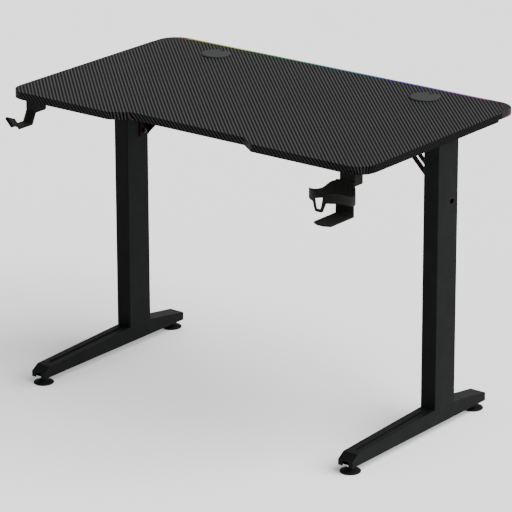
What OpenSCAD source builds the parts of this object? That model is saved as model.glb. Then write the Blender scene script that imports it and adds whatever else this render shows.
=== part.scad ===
// Rectangular gaming desk on two T-shaped steel legs, with a rear light strip,
// two cable grommets, a headphone hook and a cup holder.
// Millimetres. +X runs to the user's right, +Y to the back edge, +Z up.
// The origin lies on the floor, at the middle of the whole desk's outline box.

/* [Desktop] */
// Width of the desktop
desk_w = 1010; // [960:10:1200]
// Depth of the desktop, light strip included
desk_d = 600; // [560:10:700]
// Height of the desktop's upper face above the floor
desk_h = 718; // [700:1:760]
// Thickness of the board
board_t = 18; // [15:1:25]
// Radius of the two front corners
corner_r_front = 44; // [20:1:60]
// Radius of the two rear corners
corner_r_rear = 54; // [30:1:60]
// Depth of the cut-back in the front edge
recess_d = 30; // [10:1:50]
// Half the width of the cut-back along its inner edge
recess_half = 160; // [120:5:200]
// Width of each slanting end of the cut-back
recess_slope = 42; // [30:1:80]

/* [Light strip] */
// Depth of the frosted strip along the rear edge
strip_d = 7; // [5:0.5:12]
// Height of the frosted strip
strip_h = 13; // [8:0.5:15]
// Radius of its inner line at the corners, which makes it widest there
strip_inner_r = 74; // [50:1:75]
// How far down from the upper face the strip starts
strip_drop = 0.5; // [0.2:0.1:2]
// How far each end of the strip reaches forward from the rear edge
strip_wrap = 75; // [60:1:110]
// How far the board is cut away below the strip, from the rear edge forward
relief_wrap = 88; // [70:1:120]

/* [Grommets] */
// Sideways place of the left grommet
grommet_left_x = -310; // [-350:5:-200]
// Sideways place of the right grommet
grommet_right_x = 295; // [200:5:350]
// Distance of the grommets from the rear edge
grommet_inset = 77; // [60:1:120]
// Radius of the hole in the board
grommet_hole_r = 30; // [25:0.5:40]
// Radius of the cap
grommet_cap_r = 34.5; // [30:0.5:45]

/* [Legs] */
// Distance of each leg from the middle of the desk
leg_x = 448; // [400:1:470]
// Width of a column and of its foot beam
column_w = 40; // [30:1:60]
// Depth of a column, front to back
column_d = 78; // [60:1:100]
// How far the column's middle lies behind the middle of the desktop
column_y = 71; // [40:1:100]
// Wall of the steel tubes
tube_wall = 1.5; // [1.2:0.1:2.5]
// Height of the supporting arm under the board
arm_h = 18; // [15:1:25]
// Front end of the arm
arm_front = -200; // [-240:5:-100]
// Rear end of the arm
arm_rear = 240; // [180:5:260]

/* [Foot beams] */
// Front end of the foot beam
toe_y = -282; // [-300:1:-250]
// Rear end of the foot beam
heel_y = 236; // [200:1:260]
// Height of the foot beam's underside above the floor
foot_clear = 18; // [15:0.5:25]
// Height of the beam's upper face where it meets the column
foot_top = 56; // [50:1:70]
// Height of the beam's upper face at the toe
toe_top = 44.5; // [40:0.5:50]
// Height of the beam's upper face at the heel
heel_top = 38.5; // [34:0.5:45]
// Thickness of the folded sheet
foot_wall = 2; // [1.5:0.1:3]
// Width of the long slot in the upper face
foot_slot_w = 9; // [5:0.5:14]

/* [Levelling feet] */
// Radius of the pad
pad_r = 24; // [18:0.5:30]
// Radius of the threaded stud
stud_r = 4; // [3:0.5:5]
// How far a levelling foot screws out
level_travel = 12; // [6:1:14]
// Place of the front levelling feet
level_front_y = -263; // [-270:1:-240]
// Place of the rear levelling feet
level_rear_y = 215; // [190:1:220]

/* [Cross frame] */
// Height of the crossbeam
beam_h = 40; // [30:1:50]
// Depth of the crossbeam, front to back
beam_d = 25; // [20:1:30]
// Length of a gusset's two legs
gusset_leg = 167; // [120:1:180]
// Thickness of a gusset
gusset_t = 3; // [2:0.5:4]
// Width of the gusset's flange against the column
gusset_flange = 33; // [25:1:40]

/* [Headphone hook] */
// Sideways place of the hook
hook_x = -448; // [-460:1:-400]
// Width of the hook
hook_w = 26; // [20:1:35]
// Front face of the hook's block
hook_y = -286; // [-290:1:-260]
// Depth of the hook's section
hook_t = 6; // [5:0.5:8]

/* [Cup holder] */
// Sideways place of the cup holder
cup_x = 448; // [400:1:460]
// Middle of the ring, front to back
cup_y = -335; // [-345:1:-325]
// Outer radius of the ring
cup_r = 50; // [40:1:55]
// Wall of the cup holder
cup_wall = 3; // [2:0.5:4]
// Width of the back wall and of the rest under the cup
cup_strap_w = 47; // [35:1:55]

/* [Hidden] */

eps = 0.01;
round_n = 48;
arc_n = 10;

// Heights and edges that several pieces share
board_under = desk_h - board_t;
arm_under = board_under - arm_h;
front_edge = -desk_d / 2;
rear_edge = desk_d / 2;
side_edge = desk_w / 2;
column_inner = leg_x - column_w / 2;
column_back = column_y + column_d / 2;
grommet_y = rear_edge - grommet_inset;

// The cup holder's ring reaches further forward than anything else
frame_shift = [0, -(cup_y - cup_r + rear_edge) / 2, 0];

// Strip: a band along the rear edge and round both rear corners
strip_top = desk_h - strip_drop;
strip_low = strip_top - strip_h;
strip_end = rear_edge - strip_wrap;
relief_end = rear_edge - relief_wrap;
strip_lip = 1.5;
tape_t = 1.2;

// Wood screws that hold the arms: places along an arm
arm_screw_y = [arm_front + 30, -60, column_back + 25, arm_rear - 25];
screw_r = 2;
screw_depth = 13;
screw_head_r = 4;
screw_head_h = 2.5;
screw_gap = 0.25;

// Crossbeam and gussets share the column's rear face
beam_top = board_under - 5;
beam_low = beam_top - beam_h;
gusset_back = column_back;
beam_back = gusset_back - gusset_t;
gusset_low = beam_top - gusset_leg;
gusset_bolt_y = column_back - 20;
gusset_bolt_z = gusset_low + 12;
bolt_r = 3;
bolt_hole_r = 3.25;
access_r = 5;
access_run = 5;
access_ahead = 3.5;
beam_bolt_x = [for (inward = [107, 142]) column_inner - inward];

// Hook: levels below the board
block_h = 30;
hook_block_d = 40;
hook_inner_z = board_under - 50;
hook_lip_z = board_under - 27;
hook_lean = 12;
hook_arm_front = hook_y - 51;
hook_lip_lean = 17;
hook_web = 2.6;
hook_stem_top = board_under - block_h + 4;
hook_screw_y = [hook_y + 11, hook_y + 27];

// Cup holder: levels below the board
ring_top = board_under - 24;
ring_h = 21;
ring_wave = 15;
ring_front_dip = 3;
ring_split = 45;
ring_back = 156;
handle_gap_depth = 35.5;
handle_loop_t = 6.5;
cup_floor = board_under - 98;
cup_floor_t = 3.5;
cup_strap_top = 20;
rest_side = -38;
rest_tip = 9;
rest_front = -45.5;
cup_block_w = 40;
cup_block_front = cup_y + cup_r;
cup_block_rear = cup_block_front + 26;
cup_strap_x = cup_x + 2;
cup_block_x = cup_x + 5;
cup_screw_x = [cup_block_x - 12, cup_block_x + 12];
cup_screw_y = cup_block_front + 14;

// Light controller under the rear of the board
control_x = 210;
control_y = 205;
control_w = 70;
control_d = 40;
control_h = 22;
control_wall = 1.8;
control_lid_t = 2;
ear_w = 10;
control_ear_x = (control_w + ear_w) / 2;
button_r = 5;
button_travel = 1;
socket_r = 2.75;

// ---- Outline helpers ----

function unit(v) = v / norm(v);
function side_sign(a, b, c) = sign((b - a)[0] * (c - b)[1] - (b - a)[1] * (c - b)[0]);

// Points of an arc that rounds corner b, between its neighbours a and c
function corner_arc(a, b, c, r, n) =
    let (
        to_a = unit(a - b),
        to_c = unit(c - b),
        half = acos(to_a * to_c) / 2,
        middle = b + unit(to_a + to_c) * r / sin(half),
        turn = side_sign(a, b, c),
        sweep = 180 - 2 * half,
        start = b + to_a * r / tan(half) - middle,
        first = atan2(start[1], start[0])
    )
    [for (i = [0:n]) middle + r * [cos(first + turn * sweep * i / n), sin(first + turn * sweep * i / n)]];

// An outline whose corner i has radius radii[i]; a radius of 0 stays sharp
function rounded_outline(points, radii, n = arc_n) =
    let (count = len(points))
    [
        for (i = [0:count - 1])
            let (before = points[(i + count - 1) % count], after = points[(i + 1) % count])
                for (p = radii[i] == 0 ? [points[i]] : corner_arc(before, points[i], after, radii[i], n))
                    p
    ];

function box_outline(w, d) = [[-w / 2, -d / 2], [w / 2, -d / 2], [w / 2, d / 2], [-w / 2, d / 2]];
function rounded_box(w, d, r, n = 5) = rounded_outline(box_outline(w, d), [r, r, r, r], n);

// Radius of the rear corners: a line behind the strip bends more widely than the board's edge
function rear_corner_r(inset) =
    inset < strip_d ? corner_r_rear - inset : strip_inner_r + strip_d - inset;

// Desktop outline, its sides and rear edge moved in by `inset`
function desktop_outline(inset = 0) =
    let (
        x = side_edge - inset,
        back = rear_edge - inset,
        inner = front_edge + recess_d,
        slant = recess_half + recess_slope,
        soften = 24
    )
    rounded_outline(
        [
            [-x, front_edge], [-slant, front_edge], [-recess_half, inner], [recess_half, inner],
            [slant, front_edge], [x, front_edge], [x, back], [-x, back]
        ],
        [
            corner_r_front, soften, soften, soften / 3,
            soften / 3, corner_r_front, rear_corner_r(inset), rear_corner_r(inset)
        ]
    );

// Band between two insets of the outline, behind the line `from_y`
module rear_band(outer, inner, from_y = strip_end) {
    difference() {
        polygon(desktop_outline(outer));
        polygon(desktop_outline(inner));
        translate([-desk_w, from_y - desk_d])
            square([2 * desk_w, desk_d]);
    }
}

// ---- Desktop ----

module screw_holes(places) {
    for (p = places)
        translate([p[0], p[1], board_under - eps])
            cylinder(r = screw_r, h = screw_depth + eps, $fn = round_n);
}

arm_screw_places = [for (s = [-1, 1]) for (y = arm_screw_y) [s * leg_x, y]];
hook_screw_places = [for (y = hook_screw_y) [hook_x, y]];
cup_screw_places = [for (x = cup_screw_x) [x, cup_screw_y]];
control_screw_places = [for (s = [-1, 1]) [control_x + s * control_ear_x, control_y]];

module desktop_board() {
    color([0.13, 0.13, 0.13])
    translate(frame_shift)
    difference() {
        translate([0, 0, board_under])
            linear_extrude(board_t)
                polygon(desktop_outline());
        // Rebate that takes the strip and its tape, open at the top
        translate([0, 0, strip_low])
            linear_extrude(board_t)
                rear_band(-1, strip_d + tape_t);
        // Relief below the strip, open underneath, that starts further forward
        translate([0, 0, board_under - 1])
            linear_extrude(strip_low - board_under + 1 + eps)
                rear_band(-1, strip_d + tape_t, relief_end);
        for (x = [grommet_left_x, grommet_right_x])
            translate([x, grommet_y, board_under - 1])
                cylinder(r = grommet_hole_r, h = board_t + 2, $fn = 96);
        screw_holes(concat(arm_screw_places, hook_screw_places, cup_screw_places, control_screw_places));
    }
}

// Frosted strip with a groove at its back for the tape
module light_diffuser() {
    color([0.85, 0.9, 0.95])
    translate(frame_shift)
    translate([0, 0, strip_low])
    difference() {
        linear_extrude(strip_h)
            rear_band(0, strip_d + tape_t);
        translate([0, 0, strip_lip])
            linear_extrude(strip_h - 2 * strip_lip)
                rear_band(strip_d, strip_d + tape_t + 1);
    }
}

module led_tape() {
    color([0.9, 0.9, 0.85])
    translate(frame_shift)
    translate([0, 0, strip_low + strip_lip])
        linear_extrude(strip_h - 2 * strip_lip)
            rear_band(strip_d, strip_d + tape_t);
}

// ---- Grommets ----

sleeve_r = grommet_hole_r - 0.2;
sleeve_bore_r = sleeve_r - 2.2;
sleeve_rim_r = grommet_cap_r - 1.5;
sleeve_rim_h = 0.6;
cap_t = 2.4;
cap_spigot_r = sleeve_bore_r - 0.35;
cap_notch_w = 10;
cap_notch_d = 6;

module grommet_sleeve(x) {
    color([0.1, 0.1, 0.1])
    translate(frame_shift)
    translate([x, grommet_y, board_under - 3])
    rotate_extrude($fn = 96)
        polygon([
            [sleeve_bore_r, 0], [sleeve_r - 0.8, 0], [sleeve_r, 2], [sleeve_r, board_t + 3],
            [sleeve_rim_r, board_t + 3], [sleeve_rim_r, board_t + 3 + sleeve_rim_h],
            [sleeve_bore_r, board_t + 3 + sleeve_rim_h]
        ]);
}

// Cap with a short spigot and a cable notch that faces the rear
module grommet_cap(x) {
    color([0.2, 0.2, 0.2])
    translate(frame_shift)
    translate([x, grommet_y, desk_h + sleeve_rim_h])
    difference() {
        union() {
            translate([0, 0, 0.1])
                rotate_extrude($fn = 96)
                    polygon([
                        [0, 0], [grommet_cap_r, 0], [grommet_cap_r, cap_t - 1.6],
                        [grommet_cap_r - 0.8, cap_t - 0.6], [grommet_cap_r - 2.6, cap_t], [0, cap_t]
                    ]);
            translate([0, 0, -8])
                rotate_extrude($fn = 96)
                    polygon([
                        [cap_spigot_r - 2, 0], [cap_spigot_r, 0],
                        [cap_spigot_r, 8.2], [cap_spigot_r - 2, 8.2]
                    ]);
        }
        translate([-cap_notch_w / 2, cap_spigot_r - cap_notch_d, -10])
            cube([cap_notch_w, 30, 20]);
    }
}

// ---- Legs ----

module square_tube(w, d, h, r = 2.5) {
    linear_extrude(h)
        difference() {
            polygon(rounded_box(w, d, r));
            polygon(rounded_box(w - 2 * tube_wall, d - 2 * tube_wall, r - tube_wall + 0.2));
        }
}

// side is -1 for the left leg and 1 for the right one
module column(side) {
    color([0.11, 0.11, 0.11])
    translate(frame_shift)
    difference() {
        translate([side * leg_x, column_y, foot_top])
            square_tube(column_w, column_d, arm_under - foot_top);
        // Bolt hole in the inner wall, and the oblong hole that lets a key in through the outer one
        translate([side * (column_inner - 5), gusset_bolt_y, gusset_bolt_z])
            rotate([0, side * 90, 0])
                cylinder(r = bolt_hole_r, h = 10, $fn = round_n);
        translate([side * (column_inner + column_w - 5), gusset_bolt_y - access_ahead, gusset_bolt_z])
            rotate([0, side * 90, 0])
                linear_extrude(10) {
                    square([2 * access_r, access_run], center = true);
                    for (end = [-1, 1])
                        translate([0, end * access_run / 2])
                            circle(r = access_r, $fn = round_n);
                }
    }
}

module support_arm(side) {
    arm_len = arm_rear - arm_front;
    color([0.11, 0.11, 0.11])
    translate(frame_shift)
    difference() {
        translate([side * leg_x, arm_rear, arm_under + arm_h / 2])
            rotate([90, 0, 0])
                square_tube(column_w, arm_h, arm_len, 2);
        for (y = arm_screw_y) {
            translate([side * leg_x, y, arm_under - 1])
                cylinder(r = screw_head_r + 2, h = tube_wall + 2, $fn = round_n);
            translate([side * leg_x, y, board_under - tube_wall - 1])
                cylinder(r = screw_r + screw_gap, h = tube_wall + 2, $fn = round_n);
        }
    }
}

// Side view of a foot beam; `skin` moves it in by the sheet's thickness
function foot_profile(skin) = [
    [toe_y + skin, skin > 0 ? 0 : foot_clear], [toe_y + skin, 31.5 - skin / 2],
    [toe_y + 20 + skin / 2, toe_top - skin], [column_y - column_d / 2, foot_top - skin],
    [column_back, foot_top - skin], [heel_y - 2, heel_top - skin],
    [heel_y - skin, heel_top - 2 - skin], [heel_y - skin, skin > 0 ? 0 : foot_clear]
];

module foot_side(w, skin) {
    translate([-w / 2, 0, 0])
        rotate([90, 0, 90])
            linear_extrude(w)
                polygon(foot_profile(skin));
}

slot_front = toe_y + 43;
slot_rear = column_y - column_d / 2 - 13;
toe_notch_w = 16;
toe_notch_h = 12;

module foot_beam(side) {
    color([0.12, 0.12, 0.12])
    translate(frame_shift)
    translate([side * leg_x, 0, 0])
    difference() {
        foot_side(column_w, 0);
        foot_side(column_w - 2 * foot_wall, foot_wall);
        // Long slot with round ends
        for (y = [slot_front, slot_rear])
            translate([0, y, foot_clear + 10])
                cylinder(r = foot_slot_w / 2, h = foot_top, $fn = round_n);
        translate([-foot_slot_w / 2, slot_front, foot_clear + 10])
            cube([foot_slot_w, slot_rear - slot_front, foot_top]);
        // Notch in the toe, in front of the levelling stud
        translate([-toe_notch_w / 2, toe_y - 1, foot_clear - 1])
            cube([toe_notch_w, foot_wall + 2, toe_notch_h + 1]);
    }
}

nut_plate_w = column_w - 2 * foot_wall;
nut_plate_d = 28;
nut_plate_z = foot_clear + 2;
nut_plate_t = 3;
nut_boss_r = 7;
nut_boss_h = 7;
stud_bore_r = stud_r + 0.08;

// Two welded plates with threaded bosses, one at the toe and one at the heel
module nut_plates(side) {
    color([0.3, 0.3, 0.3])
    translate(frame_shift)
    for (y = [level_front_y, level_rear_y])
        translate([side * leg_x, y, nut_plate_z])
            difference() {
                union() {
                    translate([-nut_plate_w / 2, -nut_plate_d / 2, 0])
                        cube([nut_plate_w, nut_plate_d, nut_plate_t]);
                    cylinder(r = nut_boss_r, h = nut_boss_h, $fn = round_n);
                }
                translate([0, 0, -1])
                    cylinder(r = stud_bore_r, h = nut_boss_h + 2, $fn = round_n);
            }
}

// ---- Levelling feet ----

pad_rim_h = 4;
pad_hub_r = 9;
pad_hub_top = 12;
hex_h = 5;
hex_r = 7.5;
stud_top = nut_plate_z + nut_boss_h + level_travel - 2;
seat_r = 6;
seat_z = 6;

module levelling_pad(side, y) {
    color([0.06, 0.06, 0.06])
    translate(frame_shift)
    translate([side * leg_x, y, 0])
    rotate_extrude($fn = 72)
        polygon([
            [0, 0], [pad_r - 1.5, 0], [pad_r, 1.5], [pad_r, pad_rim_h - 1], [pad_r - 1, pad_rim_h],
            [pad_hub_r + 3, 7], [pad_hub_r, pad_hub_top - 1], [pad_hub_r - 1, pad_hub_top],
            [seat_r, pad_hub_top], [seat_r, seat_z], [0, seat_z]
        ]);
}

module levelling_stud(side, y) {
    color([0.55, 0.55, 0.57])
    translate(frame_shift)
    translate([side * leg_x, y, 0]) {
        translate([0, 0, seat_z])
            cylinder(r = seat_r - 0.05, h = pad_hub_top - seat_z, $fn = round_n);
        translate([0, 0, pad_hub_top])
            cylinder(r = hex_r, h = hex_h, $fn = 6);
        translate([0, 0, pad_hub_top + hex_h - eps])
            rotate_extrude($fn = round_n)
                polygon([
                    [0, 0], [stud_r, 0], [stud_r, stud_top - pad_hub_top - hex_h - 1],
                    [stud_r - 1, stud_top - pad_hub_top - hex_h], [0, stud_top - pad_hub_top - hex_h]
                ]);
    }
}

// ---- Cross frame ----

module crossbeam() {
    beam_half = column_inner - gusset_t;
    color([0.11, 0.11, 0.11])
    translate(frame_shift)
    difference() {
        translate([-beam_half, beam_back - beam_d / 2, beam_low + beam_h / 2])
            rotate([0, 90, 0])
                square_tube(beam_h, beam_d, 2 * beam_half, 2.5);
        for (s = [-1, 1])
            for (x = beam_bolt_x)
                translate([s * x, beam_back + 1, beam_low + beam_h / 2])
                    rotate([90, 0, 0])
                        cylinder(r = bolt_hole_r, h = tube_wall + 2, $fn = round_n);
    }
}

bar_w = 11.3;
gap_w = 5.8;
second_bar_w = 10;

// Triangular plate on the beam's rear face, with a flange on the column's inner face.
// Corner (0, 0) is the lower corner, u runs towards the middle of the desk and v runs up.
module gusset_shape() {
    root2 = sqrt(2);
    slot_mid = bar_w + gap_w / 2;
    slot_from = 22;
    slot_to = 148;
    window = (bar_w + gap_w + second_bar_w) * root2;
    window_top = gusset_leg - beam_h - 8;
    upright_bar = 14;
    difference() {
        polygon([[0, 0], [gusset_leg, gusset_leg], [0, gusset_leg]]);
        // Slot beside the slanting edge
        translate([0, slot_mid * root2])
            rotate(45) {
                translate([slot_from, -gap_w / 2])
                    square([slot_to - slot_from, gap_w]);
                for (u = [slot_from, slot_to])
                    translate([u, 0])
                        circle(r = gap_w / 2, $fn = 24);
            }
        // Triangular window in the inner corner
        polygon([
            [upright_bar, window + upright_bar], [window_top - window, window_top],
            [upright_bar, window_top]
        ]);
    }
}

module gusset(side) {
    color([0.16, 0.09, 0.09])
    translate(frame_shift)
    difference() {
        union() {
            translate([side * column_inner, gusset_back, gusset_low])
                rotate([90, 0, 0])
                    linear_extrude(gusset_t)
                        scale([-side, 1])
                            gusset_shape();
            flange_x = side * (column_inner - gusset_t / 2);
            translate([flange_x, gusset_back - gusset_flange / 2, beam_top - gusset_leg / 2])
                cube([gusset_t, gusset_flange, gusset_leg], center = true);
        }
        translate([side * (column_inner + 2), gusset_bolt_y, gusset_bolt_z])
            rotate([0, -side * 90, 0])
                cylinder(r = bolt_hole_r, h = 10, $fn = round_n);
        for (x = beam_bolt_x)
            translate([side * x, gusset_back + 1, beam_low + beam_h / 2])
                rotate([90, 0, 0])
                    cylinder(r = bolt_hole_r, h = gusset_t + 2, $fn = round_n);
    }
}

// ---- Fasteners ----

// Bolt lying along +Z from its head's underside, with a hex socket in the head
module socket_bolt(len, head_r = 5.2, head_h = 3.5) {
    difference() {
        union() {
            translate([0, 0, -eps])
                cylinder(r = bolt_r, h = len + eps, $fn = round_n);
            translate([0, 0, -head_h])
                cylinder(r = head_r, h = head_h, $fn = round_n);
        }
        translate([0, 0, -head_h - 1])
            cylinder(r = 2.3, h = 3, $fn = 6);
    }
}

module hex_nut(h = 4.8) {
    difference() {
        cylinder(r = 5.77, h = h, $fn = 6);
        translate([0, 0, -1])
            cylinder(r = bolt_r, h = h + 2, $fn = round_n);
    }
}

// A bolt through each column's inner wall and the gusset's flange, with its nut
module gusset_bolts() {
    grip = tube_wall + gusset_t;
    color([0.5, 0.5, 0.52])
    translate(frame_shift)
    for (s = [-1, 1])
        translate([s * (column_inner + tube_wall), gusset_bolt_y, gusset_bolt_z])
            rotate([0, -s * 90, 0]) {
                socket_bolt(grip + 8);
                translate([0, 0, grip])
                    hex_nut();
            }
}

// Short bolts that hold the gussets' plates to the crossbeam
module beam_bolts() {
    color([0.5, 0.5, 0.52])
    translate(frame_shift)
    for (s = [-1, 1])
        for (x = beam_bolt_x)
            translate([s * x, gusset_back, beam_low + beam_h / 2])
                rotate([90, 0, 0])
                    socket_bolt(gusset_t + 10);
}

// Wood screw along +Z from its head's underside, with a cross recess
module wood_screw(below) {
    difference() {
        union() {
            cylinder(r = screw_r - 0.02, h = below + screw_depth - 1, $fn = round_n);
            translate([0, 0, -screw_head_h])
                rotate_extrude($fn = round_n)
                    polygon([
                        [0, 0], [screw_head_r - 1.2, 0], [screw_head_r, 1.2], [screw_head_r, screw_head_h],
                        [0, screw_head_h]
                    ]);
        }
        for (turn = [0, 90])
            rotate(turn)
                translate([-2.2, -0.45, -screw_head_h - 1])
                    cube([4.4, 0.9, 2.4]);
    }
}

module screws_at(places, head_z) {
    for (p = places)
        translate([p[0], p[1], head_z])
            wood_screw(board_under - head_z);
}

module arm_screws() {
    color([0.45, 0.45, 0.47])
    translate(frame_shift)
        screws_at(arm_screw_places, board_under - tube_wall);
}

// ---- Headphone hook ----

// Inner line of the hook, from the block down the stem, along the arm and up the lip
hook_line = [
    [hook_y, hook_stem_top],
    [hook_y - hook_lean, hook_inner_z],
    [hook_arm_front, hook_inner_z],
    [hook_arm_front - hook_lip_lean, hook_lip_z]
];

// The section between the inner line and a line `depth` outside it
function hook_band(depth) =
    let (
        stem_lean = atan2(hook_lean, hook_stem_top - hook_inner_z),
        lip_lean = atan2(hook_lip_lean, hook_lip_z - hook_inner_z)
    )
    concat(hook_line, [
        [hook_line[3][0] - depth * cos(lip_lean), hook_lip_z - depth * sin(lip_lean)],
        [hook_arm_front - depth * tan(45 - lip_lean / 2), hook_inner_z - depth],
        [hook_y - hook_lean + depth * tan(45 - stem_lean / 2), hook_inner_z - depth],
        [hook_y + depth / cos(stem_lean), hook_stem_top]
    ]);

module hook_plate(width, depth) {
    translate([hook_x - width / 2, 0, 0])
        rotate([90, 0, 90])
            linear_extrude(width)
                polygon(hook_band(depth));
}

module screw_channels(places, head_z, body_low) {
    for (p = places) {
        translate([p[0], p[1], body_low - 1])
            cylinder(r = screw_head_r + 0.6, h = head_z - body_low + 1, $fn = round_n);
        translate([p[0], p[1], head_z - 1])
            cylinder(r = screw_r + screw_gap, h = board_under - head_z + 2, $fn = round_n);
    }
}

accessory_head_z = board_under - 8;

module headphone_hook() {
    rim = 2.6;
    bevel = 3;
    block_low = board_under - block_h;
    color([0.12, 0.12, 0.115])
    translate(frame_shift)
    difference() {
        union() {
            hook_plate(hook_w, hook_web);
            for (s = [-1, 1])
                translate([s * (hook_w - rim) / 2, 0, 0])
                    hook_plate(rim, hook_t);
            // Block under the board, its lower rear edge slanting
            translate([hook_x - hook_w / 2, 0, 0])
                rotate([90, 0, 90])
                    linear_extrude(hook_w)
                        polygon([
                            [hook_y, block_low + bevel], [hook_y + 2 * bevel, block_low],
                            [hook_y + hook_block_d - bevel, block_low],
                            [hook_y + hook_block_d, block_low + bevel], [hook_y + hook_block_d, board_under],
                            [hook_y, board_under]
                        ]);
        }
        screw_channels(hook_screw_places, accessory_head_z, block_low);
    }
}

module hook_screws() {
    color([0.45, 0.45, 0.47])
    translate(frame_shift)
        screws_at(hook_screw_places, accessory_head_z);
}

// ---- Cup holder ----

function ramp(x, from, to) = min(1, max(0, (x - from) / (to - from)));
function smooth(x, from, to) = let (k = ramp(x, from, to)) k * k * (3 - 2 * k);

// Both edges of the ring dip halfway back; a is the angle from the front, 0 to 180
function side_dip(a) = ring_wave * smooth(a, ring_split, 108) * (1 - smooth(a, 114, 148));

// Upper edge: it falls towards the front, where a loop leaves room for a mug's handle
function ring_upper(a) =
    ring_top - side_dip(a) - ring_front_dip * (1 - smooth(a, 13, 36))
    - (handle_gap_depth - ring_front_dip) * (1 - smooth(a, 6, 15)) + 4 * smooth(a, 145, 160);

// Lower edge: the loop hangs below the ring, and the back runs down into the strap
function ring_lower(a) =
    ring_top - ring_h - side_dip(a)
    - (handle_gap_depth + handle_loop_t - ring_h) * (1 - smooth(a, 10, 21)) - 26 * pow(ramp(a, 105, 152), 2);

// The ring seen from one side: its upper edge one way and its lower edge back again
function ring_outline(angles, across) =
    let (last = len(angles) - 1)
    concat(
        [for (i = [0:last]) [across[i], ring_upper(abs(angles[i]))]],
        [for (i = [last:-1:0]) [across[i], ring_lower(abs(angles[i]))]]
    );

module cup_shell(height) {
    difference() {
        cylinder(r = cup_r, h = height, $fn = 96);
        translate([0, 0, -1])
            cylinder(r = cup_r - cup_wall, h = height + 2, $fn = 96);
    }
}

// Near the front the shell is cut by its front view, and from there on by its side view
module cup_ring() {
    reach = cup_r + 1;
    split = cup_r * cos(ring_split);
    front_angles = [for (i = [-15:15]) 3.1 * i];
    side_angles = [for (a = [ring_split:3:ring_back]) a];
    intersection() {
        translate([0, 0, cup_floor])
            cup_shell(board_under - cup_floor);
        translate([0, -split, 0])
            rotate([90, 0, 0])
                linear_extrude(reach - split)
                    polygon(ring_outline(front_angles, [for (a = front_angles) cup_r * sin(a)]));
    }
    intersection() {
        translate([0, 0, cup_floor])
            cup_shell(board_under - cup_floor);
        translate([-reach, 0, 0])
            rotate([90, 0, 90])
                linear_extrude(2 * reach)
                    polygon(ring_outline(side_angles, [for (a = side_angles) -cup_r * cos(a)]));
    }
}

// Strap behind the cup, with the rest that it carries under the cup
module cup_strap() {
    strap_h = board_under - cup_strap_top - cup_floor;
    half = cup_strap_w / 2;
    intersection() {
        cup_shell(strap_h);
        translate([-half, 0, 0])
            cube([cup_strap_w, cup_r + 1, strap_h]);
    }
    linear_extrude(cup_floor_t)
        polygon(rounded_outline(
            [
                [half, cup_r - cup_wall - 5], [-half, cup_r - cup_wall - 5], [-half, rest_side],
                [-rest_tip, rest_front], [rest_tip, rest_front], [half, rest_side]
            ],
            [0, 0, 6, 12, 12, 6]
        ));
}

module cup_holder() {
    block_low = board_under - block_h;
    color([0.12, 0.12, 0.115])
    translate(frame_shift)
    difference() {
        union() {
            translate([cup_x, cup_y, 0])
                cup_ring();
            translate([cup_strap_x, cup_y, cup_floor])
                cup_strap();
            // Block under the board
            translate([cup_block_x - cup_block_w / 2, cup_block_front - cup_wall, block_low])
                cube([cup_block_w, cup_block_rear - cup_block_front + cup_wall, block_h]);
        }
        screw_channels(cup_screw_places, accessory_head_z, block_low);
    }
}

module cup_holder_screws() {
    color([0.45, 0.45, 0.47])
    translate(frame_shift)
        screws_at(cup_screw_places, accessory_head_z);
}

// ---- Light controller ----

control_low = board_under - control_h;
control_corner_r = 3;
ear_d = 14;
ear_t = 3;
socket_x = 20;
socket_body_r = 5.4;
socket_depth = 10;

module light_controller_case() {
    inner_w = control_w - 2 * control_wall;
    inner_d = control_d - 2 * control_wall;
    color([0.08, 0.08, 0.08])
    translate(frame_shift)
    translate([control_x, control_y, 0])
    difference() {
        union() {
            translate([0, 0, control_low + control_lid_t])
                linear_extrude(control_h - control_lid_t)
                    polygon(rounded_box(control_w, control_d, control_corner_r));
            translate([-control_w / 2 - ear_w, -ear_d / 2, board_under - ear_t])
                cube([control_w + 2 * ear_w, ear_d, ear_t]);
        }
        translate([0, 0, control_low])
            linear_extrude(control_h - ear_t)
                polygon(rounded_box(inner_w, inner_d, control_corner_r / 2));
        for (s = [-1, 1])
            translate([s * control_ear_x, 0, board_under - ear_t - 1])
                cylinder(r = screw_r + screw_gap, h = ear_t + 2, $fn = round_n);
        // Opening for the power socket in the rear wall
        translate([socket_x, control_d / 2 + 1, control_low + control_h / 2])
            rotate([90, 0, 0])
                cylinder(r = socket_body_r + 0.1, h = control_wall + 2, $fn = round_n);
    }
}

module light_controller_lid() {
    color([0.1, 0.1, 0.1])
    translate(frame_shift)
    translate([control_x, control_y, control_low])
    difference() {
        linear_extrude(control_lid_t)
            polygon(rounded_box(control_w, control_d, control_corner_r));
        translate([0, 0, -1])
            cylinder(r = button_r + 0.3, h = control_lid_t + 2, $fn = round_n);
    }
}

button_proud = button_travel + 0.5;
collar_z = button_proud + control_lid_t + 0.2;
stem_r = 3;
stem_top = collar_z + 4.3;

// Push button with a stem and a collar that stops it inside the lid
module light_controller_button() {
    color([0.75, 0.75, 0.75])
    translate(frame_shift)
    translate([control_x, control_y, control_low - button_proud])
    rotate_extrude($fn = round_n)
        polygon([
            [0, 0], [button_r - 0.8, 0], [button_r, 0.8], [button_r, collar_z], [button_r + 1.2, collar_z],
            [button_r + 1.2, collar_z + 1], [stem_r, collar_z + 1], [stem_r, stem_top], [0, stem_top]
        ]);
}

// Round power socket that takes a barrel plug
module light_controller_socket() {
    color([0.05, 0.05, 0.05])
    translate(frame_shift)
    translate([control_x + socket_x, control_y + control_d / 2 + 1, control_low + control_h / 2])
    rotate([90, 0, 0])
    difference() {
        union() {
            cylinder(r = socket_body_r + 1.1, h = 1, $fn = round_n);
            cylinder(r = socket_body_r, h = socket_depth + 3, $fn = round_n);
        }
        translate([0, 0, -1])
            cylinder(r = socket_r, h = socket_depth + 1, $fn = round_n);
    }
}

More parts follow.
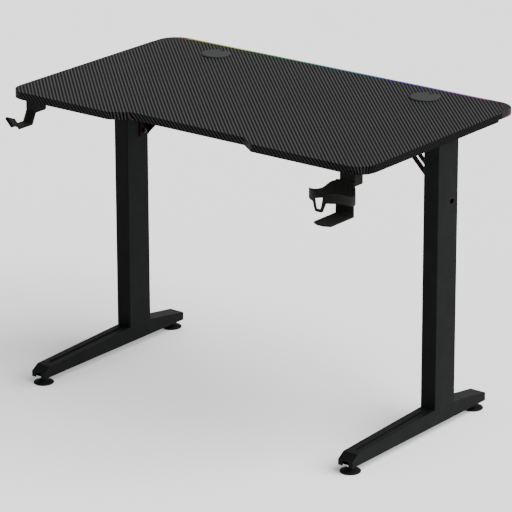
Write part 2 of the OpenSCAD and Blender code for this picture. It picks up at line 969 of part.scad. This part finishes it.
module light_controller_screws() {
    color([0.45, 0.45, 0.47])
    translate(frame_shift)
        screws_at(control_screw_places, board_under - ear_t);
}

desktop_board();
light_diffuser();
led_tape();
grommet_sleeve(grommet_left_x);  // grommet_sleeve_left
grommet_sleeve(grommet_right_x);  // grommet_sleeve_right
grommet_cap(grommet_left_x);  // grommet_cap_left
grommet_cap(grommet_right_x);  // grommet_cap_right
column(-1);  // column_left
column(1);  // column_right
foot_beam(-1);  // foot_beam_left
foot_beam(1);  // foot_beam_right
nut_plates(-1);  // nut_plates_left
nut_plates(1);  // nut_plates_right
support_arm(-1);  // support_arm_left
support_arm(1);  // support_arm_right
crossbeam();
gusset(-1);  // gusset_left
gusset(1);  // gusset_right
levelling_pad(-1, level_front_y);  // pad_left_front
levelling_pad(-1, level_rear_y);  // pad_left_rear
levelling_pad(1, level_front_y);  // pad_right_front
levelling_pad(1, level_rear_y);  // pad_right_rear
levelling_stud(-1, level_front_y);  // stud_left_front
levelling_stud(-1, level_rear_y);  // stud_left_rear
levelling_stud(1, level_front_y);  // stud_right_front
levelling_stud(1, level_rear_y);  // stud_right_rear
headphone_hook();
hook_screws();
cup_holder();
cup_holder_screws();
arm_screws();
gusset_bolts();
beam_bolts();
light_controller_case();
light_controller_lid();
light_controller_button();
light_controller_socket();
light_controller_screws();
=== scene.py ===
import math

import bpy
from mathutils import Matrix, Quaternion, Vector


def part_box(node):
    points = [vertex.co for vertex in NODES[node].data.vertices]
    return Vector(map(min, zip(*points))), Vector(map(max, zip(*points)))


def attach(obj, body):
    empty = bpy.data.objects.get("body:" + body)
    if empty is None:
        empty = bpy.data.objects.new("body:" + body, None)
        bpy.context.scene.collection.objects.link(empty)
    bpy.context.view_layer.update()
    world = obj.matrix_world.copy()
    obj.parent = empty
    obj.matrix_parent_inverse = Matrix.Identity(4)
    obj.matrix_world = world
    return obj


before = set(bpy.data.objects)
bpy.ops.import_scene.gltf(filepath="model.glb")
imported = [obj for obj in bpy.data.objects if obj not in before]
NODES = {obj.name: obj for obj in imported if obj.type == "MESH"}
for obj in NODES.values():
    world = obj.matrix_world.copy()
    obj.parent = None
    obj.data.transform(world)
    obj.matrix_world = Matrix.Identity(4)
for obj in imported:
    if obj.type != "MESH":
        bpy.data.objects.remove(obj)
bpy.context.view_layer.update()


def mm(value):
    """Millimetres to metres."""
    return value / 1000


# ---------------------------------------------------------------- node helpers

class Paint:
    """A node-based material, built with short calls."""

    def __init__(self, name):
        self.mat = bpy.data.materials.new(name)
        self.mat.use_nodes = True
        self.tree = self.mat.node_tree
        self.bsdf = self.tree.nodes["Principled BSDF"]
        self._coords = None

    def feed(self, socket, value):
        """Links another node's output to a socket, or sets the socket's own value."""
        if isinstance(value, bpy.types.NodeSocket):
            self.tree.links.new(value, socket)
        else:
            socket.default_value = value

    def calc(self, op, *args, clamp=False):
        """One step of arithmetic."""
        node = self.tree.nodes.new("ShaderNodeMath")
        node.operation = op
        node.use_clamp = clamp
        for i, value in enumerate(args):
            self.feed(node.inputs[i], value)
        return node.outputs[0]

    def coords(self):
        """The object coordinates as one socket, then as x, y, z, then the object-space normal as x, y, z."""
        if self._coords is None:
            source = self.tree.nodes.new("ShaderNodeTexCoord")
            parts = []
            for name in ("Object", "Normal"):
                split = self.tree.nodes.new("ShaderNodeSeparateXYZ")
                self.tree.links.new(source.outputs[name], split.inputs[0])
                parts.append(list(split.outputs))
            self._coords = (source.outputs["Object"], *parts)
        return self._coords

    def blend(self, factor, a, b):
        """Colour a where factor is 0, b where it is 1."""
        node = self.tree.nodes.new("ShaderNodeMix")
        node.data_type = "RGBA"
        self.feed(node.inputs[0], factor)
        # a mix node lists its sockets for numbers and vectors before those for colours
        for i, value in zip((6, 7), (a, b)):
            self.feed(node.inputs[i], value if isinstance(value, bpy.types.NodeSocket) else tone(value))
        return node.outputs[2]

    def lerp(self, factor, a, b):
        """Number a where factor is 0, b where it is 1."""
        node = self.tree.nodes.new("ShaderNodeMix")
        node.data_type = "FLOAT"
        for i, value in zip((0, 2, 3), (factor, a, b)):
            self.feed(node.inputs[i], value)
        return node.outputs[0]

    def noise(self, scale, detail=3.0, rough=0.5, stretch=None):
        """Noise with `scale` cells per metre; stretch multiplies the coordinates first."""
        vector = self.coords()[0]
        if stretch:
            vector = self.scaled(vector, stretch)
        node = self.tree.nodes.new("ShaderNodeTexNoise")
        self.feed(node.inputs["Vector"], vector)
        node.inputs["Scale"].default_value = scale
        node.inputs["Detail"].default_value = detail
        node.inputs["Roughness"].default_value = rough
        return node.outputs["Fac"]

    def scaled(self, vector, factors):
        """A vector or colour times one number or three."""
        if isinstance(factors, float):
            factors = (factors,) * 3
        node = self.tree.nodes.new("ShaderNodeVectorMath")
        node.operation = "MULTIPLY"
        self.tree.links.new(vector, node.inputs[0])
        node.inputs[1].default_value = factors
        return node.outputs[0]

    def band(self, value, low, high):
        """0 up to low, 1 from high on, smooth between; the other way round if low is above high."""
        node = self.tree.nodes.new("ShaderNodeMapRange")
        node.interpolation_type = "SMOOTHSTEP"
        self.feed(node.inputs["Value"], value)
        node.inputs["From Min"].default_value = low
        node.inputs["From Max"].default_value = high
        return node.outputs["Result"]

    def bump(self, height, depth, strength):
        """Bump from a height of 0 to 1 that stands for `depth` metres."""
        node = self.tree.nodes.new("ShaderNodeBump")
        node.inputs["Strength"].default_value = strength
        node.inputs["Distance"].default_value = depth
        self.feed(node.inputs["Height"], height)
        self.tree.links.new(node.outputs["Normal"], self.bsdf.inputs["Normal"])

    def set(self, **values):
        """Feeds the surface shader's own sockets and returns the material."""
        names = {"base": "Base Color", "rough": "Roughness", "metal": "Metallic",
                 "spec": "Specular IOR Level", "glow": "Emission Color", "glow_strength": "Emission Strength"}
        for key, value in values.items():
            self.feed(self.bsdf.inputs[names[key]], value)
        return self.mat


def tone(value):
    """A grey or an RGB triple as RGBA."""
    rgb = (value,) * 3 if isinstance(value, float) else value
    return (*rgb, 1.0)


# ------------------------------------------------------------------- materials

# width of one tow of the printed cloth, and after how many tows its twill repeats
TOW = mm(2.72)
REPEAT = 4.0


def carbon_laminate():
    """Foil printed and pressed like 2/2 twill carbon cloth; it wraps round the edges of the board."""
    p = Paint("carbon_laminate")
    _, (x, y, z), (nx, ny, nz) = p.coords()
    # places in tows across and along; on the edge faces the cloth runs on downwards
    drop = p.calc("SUBTRACT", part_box("desktop_board")[1].z, z)
    a = p.calc("DIVIDE", p.calc("MULTIPLY_ADD", nx, drop, x), TOW)
    b = p.calc("DIVIDE", p.calc("MULTIPLY_ADD", ny, drop, y), TOW)
    col, row = p.calc("FLOOR", a), p.calc("FLOOR", b)
    step = p.calc("FLOORED_MODULO", p.calc("ADD", col, row), REPEAT)
    warp = p.calc("LESS_THAN", step, 1.5)

    def crown(value):
        """Height across one tow, 0 at its edges and 1 in its middle."""
        return p.calc("SINE", p.calc("MULTIPLY", p.calc("FRACT", value), math.pi))

    def arch(value):
        """Height along a tow that passes over two others, and dives at both ends."""
        return p.calc("POWER", p.calc("SINE", p.calc("MULTIPLY", value, math.pi / 2), clamp=True), 0.45)

    along_warp = arch(p.calc("FLOORED_MODULO", p.calc("ADD", col, b), REPEAT))
    along_weft = arch(p.calc("SUBTRACT", p.calc("FLOORED_MODULO", p.calc("ADD", row, a), REPEAT), REPEAT / 2))
    rise_warp = p.calc("MULTIPLY", crown(a), along_warp)
    rise_weft = p.calc("MULTIPLY", crown(b), along_weft)
    rise = p.lerp(warp, rise_weft, rise_warp)

    # fibres run along each tow, about a ninth of its width apart
    fine, long = 9.0, 0.35
    fibre_warp = p.noise(1 / TOW, 2.0, 0.6, stretch=(fine, long, fine))
    fibre_weft = p.noise(1 / TOW, 2.0, 0.6, stretch=(long, fine, fine))
    fibre = p.lerp(warp, fibre_weft, fibre_warp)

    light = p.blend(rise, 0.004, 0.058)
    dark = p.blend(rise, 0.0008, 0.0022)
    weave = p.blend(warp, dark, light)
    shade = p.calc("MULTIPLY_ADD", fibre, 0.5, 0.75)
    cloud = p.calc("MULTIPLY_ADD", p.noise(9.0, 2.0), 0.16, 0.92)
    tint = p.scaled(weave, (1.0, 1.0, 1.02))
    # the foil wraps round the edges; painted shade makes the edge faces darker there, the left and right ends
    # most
    side_face = p.band(p.calc("ABSOLUTE", nx), 0.55, 0.9)
    long_face = p.band(p.calc("ABSOLUTE", ny), 0.55, 0.9)
    painted_edge_shade = p.calc("MULTIPLY", p.lerp(side_face, 1.0, 0.24), p.lerp(long_face, 1.0, 0.62))
    shaded = p.tree.nodes.new("ShaderNodeVectorMath")
    shaded.operation = "SCALE"
    p.feed(shaded.inputs[0], tint)
    p.feed(shaded.inputs["Scale"], p.calc("MULTIPLY", p.calc("MULTIPLY", shade, cloud), painted_edge_shade))
    # the underside has plain black backing foil
    under = p.calc("LESS_THAN", nz, -0.6)
    base = p.blend(under, shaded.outputs[0], 0.006)
    rough = p.calc("MULTIPLY_ADD", p.noise(140.0, 3.0), 0.12, 0.40)
    p.bump(p.calc("MULTIPLY_ADD", fibre, 0.25, rise), mm(0.06), 0.55)
    return p.set(base=base, rough=p.lerp(under, rough, 0.6), spec=0.012)


def powder_coat(name, colour, worn=0.0):
    """Baked powder coat with its orange-peel surface; worn is how much paler it is on rubbed edges."""
    p = Paint(name)
    patches = p.band(p.noise(22.0, 3.0), 0.35, 0.75)
    lighter = tuple(c * 1.35 + worn for c in colour)
    peel, grit = p.noise(900.0, 2.0), p.noise(2600.0, 1.0)
    p.bump(p.calc("ADD", peel, p.calc("MULTIPLY", grit, 0.4)), mm(0.05), 0.5)
    rough = p.calc("MULTIPLY_ADD", p.noise(60.0, 3.0), 0.10, 0.40 - worn * 2)
    return p.set(base=p.blend(patches, colour, lighter), rough=rough, spec=0.03)


# painted light: how much paler moulded plastic is painted where it looks up, as if lit from above
TOP_LIGHT_GAIN = 1.7


def moulded(name, colour, rough=0.5, worn=0.0):
    """Spark-eroded moulded plastic: a fine even grain, shinier where it's rubbed, painted paler where it
    looks up as if lit from above.
    """
    p = Paint(name)
    place, _, (_, _, nz) = p.coords()
    # painted light: faces that look up get a paler colour, as if lit from above
    dust = p.band(nz, 0.5, 0.9)
    cells = p.tree.nodes.new("ShaderNodeTexVoronoi")
    p.feed(cells.inputs["Vector"], place)
    cells.inputs["Scale"].default_value = 1500.0
    flow = p.noise(35.0, 3.0)
    lighter = tuple(c * 1.3 + worn for c in colour)
    p.bump(p.calc("ADD", cells.outputs["Distance"], p.noise(4200.0, 1.0)), mm(0.04), 0.4)
    plain_tone = p.blend(flow, colour, lighter)
    return p.set(base=p.blend(dust, plain_tone, p.scaled(plain_tone, TOP_LIGHT_GAIN)),
                 rough=p.calc("MULTIPLY_ADD", flow, 0.14, rough - 0.07), spec=0.04)


def plated_steel(name, dull, bright):
    """Plated or oxidised steel, turned or pressed."""
    p = Paint(name)
    spangle = p.noise(700.0, 3.0)
    lines = p.noise(900.0, 2.0, stretch=(1.0, 1.0, 14.0))
    p.bump(lines, mm(0.02), 0.4)
    return p.set(base=p.blend(spangle, dull, bright), metal=1.0,
                 rough=p.calc("MULTIPLY_ADD", lines, 0.2, 0.28))


STRIP_LOW, STRIP_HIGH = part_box("light_diffuser")
STRIP_LENGTH = STRIP_HIGH.x - STRIP_LOW.x
# millimetres right of the middle, and the colour of the lamps there
RAINBOW = [
    (-505, (0.75, 0.01, 0.02)), (-475, (0.75, 0.06, 0.01)), (-450, (0.80, 0.50, 0.01)),
    (-425, (0.80, 0.75, 0.02)), (-290, (0.75, 0.78, 0.02)), (-255, (0.10, 0.62, 0.04)),
    (-130, (0.02, 0.60, 0.12)), (-70, (0.01, 0.45, 0.33)), (20, (0.01, 0.42, 0.62)),
    (95, (0.03, 0.30, 0.80)), (160, (0.08, 0.06, 0.90)), (260, (0.18, 0.05, 0.95)),
    (320, (0.40, 0.04, 0.90)), (380, (0.80, 0.03, 0.75)), (440, (0.85, 0.03, 0.35)),
    (505, (0.80, 0.01, 0.08)),
]
# how bright the rainbow is, and how far left of the middle its lit stretch sits
RAINBOW_LEVEL = 0.62
LIT_LEFT = mm(18)
CORNER_RED = (0.026, 0.0008, 0.0050)
CORNER_RIM = (0.16, 0.022, 0.048)
CORNER_LAMP = (0.0004, 0.0200, 0.0120)
# outer radius of the strip round the rear corners
CORNER = mm(54)


def glowing_strip():
    """Frosted plastic lit from behind: a rainbow along the rear, dim corners with a glowing rim and lamp."""
    p = Paint("frosted_strip")
    _, (x, y, z), (nx, _, _) = p.coords()
    along = p.calc("ABSOLUTE", x)
    ramp = p.tree.nodes.new("ShaderNodeValToRGB")
    p.feed(ramp.inputs[0], p.calc("DIVIDE", p.calc("SUBTRACT", x, STRIP_LOW.x), STRIP_LENGTH))
    line = ramp.color_ramp.elements
    stops = [((mm(at) - STRIP_LOW.x) / STRIP_LENGTH, tone(colour)) for at, colour in RAINBOW]
    line[0].position, line[0].color = stops[0]
    line[1].position, line[1].color = stops[-1]
    for at, colour in stops[1:-1]:
        line.new(at).color = colour
    from_lit = p.calc("ABSOLUTE", p.calc("ADD", x, LIT_LEFT))
    rainbow = p.blend(p.band(from_lit, mm(425), mm(462)), p.scaled(ramp.outputs[0], RAINBOW_LEVEL), 0.0)

    # corner seen from above: dark red next to the rainbow, a rim on the outside, a green lamp in the middle
    over_x = p.calc("MAXIMUM", p.calc("SUBTRACT", along, STRIP_HIGH.x - CORNER), 0.0)
    over_y = p.calc("MAXIMUM", p.calc("SUBTRACT", y, STRIP_HIGH.y - CORNER), 0.0)
    squares = p.calc("ADD", p.calc("MULTIPLY", over_x, over_x), p.calc("MULTIPLY", over_y, over_y))
    radius = p.calc("SQRT", squares)
    red = p.calc("MULTIPLY", p.band(over_y, mm(26), mm(46)), p.band(from_lit, mm(425), mm(455)))
    rim = p.calc("MULTIPLY", p.band(radius, CORNER - mm(4), CORNER - mm(1)), p.band(along, mm(440), mm(470)))
    rim = p.calc("MULTIPLY", rim, p.band(over_y, mm(-1), mm(14)))
    mid = p.band(p.calc("ABSOLUTE", p.calc("SUBTRACT", radius, CORNER - mm(10))), mm(7), mm(3))
    lamp = p.calc("MULTIPLY", p.band(over_y, mm(6), mm(14)), p.band(over_x, mm(16), mm(28)))
    lamp = p.calc("MULTIPLY", mid, lamp)
    above = p.blend(rim, p.blend(lamp, p.blend(red, rainbow, CORNER_RED), CORNER_LAMP), CORNER_RIM)

    # corner seen from the side: the light leaves at the bottom
    end = p.band(p.calc("ABSOLUTE", nx), 0.35, 0.75)
    low = p.band(p.calc("SUBTRACT", z, STRIP_LOW.z), mm(8), mm(1.5))
    low = p.calc("MULTIPLY", low, p.band(p.calc("SUBTRACT", y, STRIP_LOW.y), mm(8), mm(28)))
    glow = p.blend(end, above, p.blend(low, 0.0, CORNER_RIM))

    # the surface itself is darkest where a lamp shows through it
    grain = p.noise(1400.0, 2.0)
    p.bump(grain, mm(0.03), 0.4)
    frosted = p.blend(grain, (0.0085, 0.0085, 0.0088), (0.0125, 0.0125, 0.0128))
    lit = p.calc("MULTIPLY", p.calc("MAXIMUM", red, lamp), p.calc("SUBTRACT", 1.0, end))
    return p.set(base=p.blend(lit, frosted, 0.0025), rough=0.45, glow=glow, glow_strength=1.0, spec=0.03)


def lamp_tape():
    """White flexible tape with a lamp every 16 mm."""
    p = Paint("lamp_tape")
    _, (x, _, _), _ = p.coords()
    lamp = p.calc("LESS_THAN", p.calc("FRACT", p.calc("DIVIDE", x, mm(16))), 0.3)
    p.bump(lamp, mm(0.4), 0.6)
    return p.set(base=p.blend(lamp, (0.62, 0.62, 0.58), (0.85, 0.80, 0.45)), rough=0.5)


def rubber(name, colour):
    """Matt rubber with a fine grain and a little dust."""
    p = Paint(name)
    dust = p.band(p.noise(260.0, 4.0), 0.5, 0.8)
    p.bump(p.noise(1800.0, 2.0), mm(0.05), 0.5)
    return p.set(base=p.blend(dust, colour, tuple(c + 0.005 for c in colour)), rough=0.62, spec=0.04)


LAMINATE = carbon_laminate()
COAT = powder_coat("black_powder_coat", (0.0043, 0.0048, 0.0046))
COAT_EDGE = powder_coat("black_powder_coat_edge", (0.0075, 0.0080, 0.0080), 0.006)
DARK_RED = powder_coat("gusset_powder_coat", (0.0060, 0.0009, 0.0011))
DARK_RED_EDGE = powder_coat("gusset_powder_coat_edge", (0.009, 0.0024, 0.0026), 0.002)
PLASTIC = moulded("black_moulding", (0.0048, 0.0050, 0.0043))
PLASTIC_EDGE = moulded("black_moulding_edge", (0.0075, 0.0075, 0.007), 0.42, 0.003)
CAP = moulded("grommet_moulding", (0.0125, 0.0128, 0.0130))
CAP_EDGE = moulded("grommet_moulding_edge", (0.016, 0.0163, 0.0166), 0.42, 0.003)
BUTTON = moulded("button_moulding", (0.42, 0.42, 0.41), 0.4)
ZINC = plated_steel("zinc_plate", (0.38, 0.38, 0.40), (0.62, 0.62, 0.63))
BLACK_OXIDE = plated_steel("black_oxide", (0.020, 0.020, 0.021), (0.045, 0.045, 0.047))
STRIP = glowing_strip()
TAPE = lamp_tape()
PAD = rubber("pad_rubber", (0.0045, 0.0045, 0.0048))


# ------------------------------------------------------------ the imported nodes

# points closer than SAME_POINT are joined, faces that bend less than FLAT are merged,
# and edges sharper than SHARP are softened
SAME_POINT = mm(0.02)
FLAT = math.radians(0.4)
SHARP = math.radians(32)


def dress(node, paint, edge=None, bevel=0.0, segments=2):
    """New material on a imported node; modifiers soften its edges, in the material `edge` if there is one."""
    obj = NODES[node]
    obj.data.materials.clear()
    obj.data.materials.append(paint)
    if bevel:
        weld = obj.modifiers.new("weld", "WELD")
        weld.merge_threshold = SAME_POINT
        flat = obj.modifiers.new("flat", "DECIMATE")
        flat.decimate_type = "DISSOLVE"
        flat.angle_limit = FLAT
        soft = obj.modifiers.new("soft", "BEVEL")
        soft.width = mm(bevel)
        soft.segments = segments
        soft.limit_method = "ANGLE"
        soft.angle_limit = SHARP
        soft.harden_normals = True
        soft.miter_outer = "MITER_ARC"
        if edge:
            obj.data.materials.append(edge)
            soft.material = 1


dress("desktop_board", LAMINATE, bevel=1.2, segments=3)
# the strip and the tape stay plain: softening breaks the long thin lips of the strip's groove
dress("light_diffuser", STRIP)
dress("led_tape", TAPE)
for side in ("left", "right"):
    dress(f"grommet_sleeve_{side}", PLASTIC, PLASTIC_EDGE, 0.3)
    dress(f"grommet_cap_{side}", CAP, CAP_EDGE, 0.4)
    for node in ("column", "foot_beam", "support_arm"):
        dress(f"{node}_{side}", COAT, COAT_EDGE, 0.5)
    dress(f"nut_plates_{side}", COAT, COAT_EDGE, 0.3)
    dress(f"gusset_{side}", DARK_RED, DARK_RED_EDGE, 0.5)
    for end in ("front", "rear"):
        dress(f"pad_{side}_{end}", PAD, bevel=0.3)
        dress(f"stud_{side}_{end}", ZINC, bevel=0.2)
dress("crossbeam", COAT, COAT_EDGE, 0.4)
dress("headphone_hook", PLASTIC, PLASTIC_EDGE, 0.7)
dress("cup_holder", PLASTIC, PLASTIC_EDGE, 0.5)
for node in ("hook_screws", "cup_holder_screws", "arm_screws", "light_controller_screws"):
    dress(node, ZINC, bevel=0.15)
for node in ("gusset_bolts", "beam_bolts"):
    dress(node, BLACK_OXIDE, bevel=0.15)
for node in ("light_controller_case", "light_controller_lid", "light_controller_socket"):
    dress(node, PLASTIC, PLASTIC_EDGE, 0.3)
dress("light_controller_button", BUTTON, bevel=0.2)


# ----------------------------------------------------------------- weld beads

def add_mesh(name, verts, faces, material):
    """A new object in the scene, made of these points and faces."""
    mesh = bpy.data.meshes.new(name)
    mesh.from_pydata([tuple(v) for v in verts], [], faces)
    mesh.materials.append(material)
    obj = bpy.data.objects.new(name, mesh)
    bpy.context.scene.collection.objects.link(obj)
    return obj


def weld_bead(name, start, end, radius):
    """A short fillet weld: overlapping ripples along a level line, rounded off at both ends."""
    ripple, step, sway = mm(2.2), mm(0.45), mm(7.3)
    around = 10
    line = end - start
    along = line.normalized()
    side = along.cross(Vector((0, 0, 1))).normalized()
    above = side.cross(along)
    count = round(line.length / step)
    verts, faces = [], []
    for i in range(count + 1):
        run = line.length * i / count
        from_end = min(run, line.length - run)
        taper = math.sqrt(min(1.0, from_end / (1.5 * radius) + 0.02))
        bulge = math.sin(math.pi * (run / ripple % 1.0)) ** 0.6
        thick = radius * taper * (0.84 + 0.16 * bulge)
        lean = 0.06 * radius * math.sin(run / sway)
        for k in range(around):
            turn = 2 * math.pi * k / around
            across = side * (thick * math.cos(turn) + lean) + above * thick * math.sin(turn)
            verts.append(start + along * run + across)
    for i in range(count):
        for k in range(around):
            a, b = i * around + k, i * around + (k + 1) % around
            faces.append((a, b, b + around, a + around))
    faces.append(tuple(range(around - 1, -1, -1)))
    faces.append(tuple(count * around + k for k in range(around)))
    bead = add_mesh(name, verts, faces, COAT)
    bead.data.polygons.foreach_set("use_smooth", [True] * len(bead.data.polygons))
    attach(bead, "frame")


def weld_columns():
    """Beads across the front and rear of each column, on the foot beam and under the arm."""
    radius, inset = mm(1.7), mm(3)
    for side in ("left", "right"):
        low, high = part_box(f"column_{side}")
        for end, y in (("front", low.y), ("rear", high.y)):
            for level, z in (("foot", low.z), ("arm", high.z)):
                start, stop = Vector((low.x + inset, y, z)), Vector((high.x - inset, y, z))
                weld_bead(f"weld_{side}_{end}_{level}", start, stop, radius)


weld_columns()


# ------------------------------------------------------------- floor and light

# half the side of the floor, in metres
REACH = 20.0


def floor():
    """A plain pale floor that reaches past the edges of the view."""
    p = Paint("studio_floor")
    pale = p.set(base=p.blend(p.noise(3.0, 2.0), 0.86, 0.88), rough=0.9, spec=0.1)
    corners = [(-REACH, -REACH, 0), (REACH, -REACH, 0), (REACH, REACH, 0), (-REACH, REACH, 0)]
    add_mesh("floor", corners, [(0, 1, 2, 3)], pale)


def studio_light():
    """An even pale surround, and one very soft light from above, the right and a little behind."""
    world = bpy.data.worlds.new("studio")
    bpy.context.scene.world = world
    world.use_nodes = True
    surround = world.node_tree.nodes["Background"]
    surround.inputs["Color"].default_value = tone(1.0)
    surround.inputs["Strength"].default_value = 0.8
    panel = bpy.data.objects.new("sky_panel", bpy.data.lights.new("sky_panel", "SUN"))
    panel.data.energy = 7.3
    panel.data.angle = math.radians(70)
    panel.rotation_mode = "QUATERNION"
    panel.rotation_quaternion = Vector((-0.72, -0.26, -0.64)).to_track_quat("-Z", "Y")
    bpy.context.scene.collection.objects.link(panel)


floor()
studio_light()


# ---------------------------------------------------------------------- camera

# where it stands, in metres, and the angles it looks along: round from the front, down and tilted, in degrees
CAMERA_PLACE = (4.4842, -5.7541, 2.8557)
AZIMUTH, ELEVATION, ROLL = 37.835, 18.966, -0.169
LENS, SENSOR = 236.105, 36


def camera():
    """Stands front right of the desk and well above it, as for the picture of a product."""
    azimuth, elevation = math.radians(AZIMUTH), math.radians(ELEVATION)
    level = math.cos(elevation)
    back = Vector((math.sin(azimuth) * level, -math.cos(azimuth) * level, math.sin(elevation)))
    data = bpy.data.cameras.new("camera")
    data.sensor_width = SENSOR
    data.lens = LENS
    data.clip_start, data.clip_end = 0.1, 100
    obj = bpy.data.objects.new("camera", data)
    obj.location = CAMERA_PLACE
    obj.rotation_mode = "QUATERNION"
    obj.rotation_quaternion = (-back).to_track_quat("-Z", "Y") @ Quaternion((0, 0, 1), math.radians(ROLL))
    bpy.context.scene.collection.objects.link(obj)
    bpy.context.scene.camera = obj


camera()
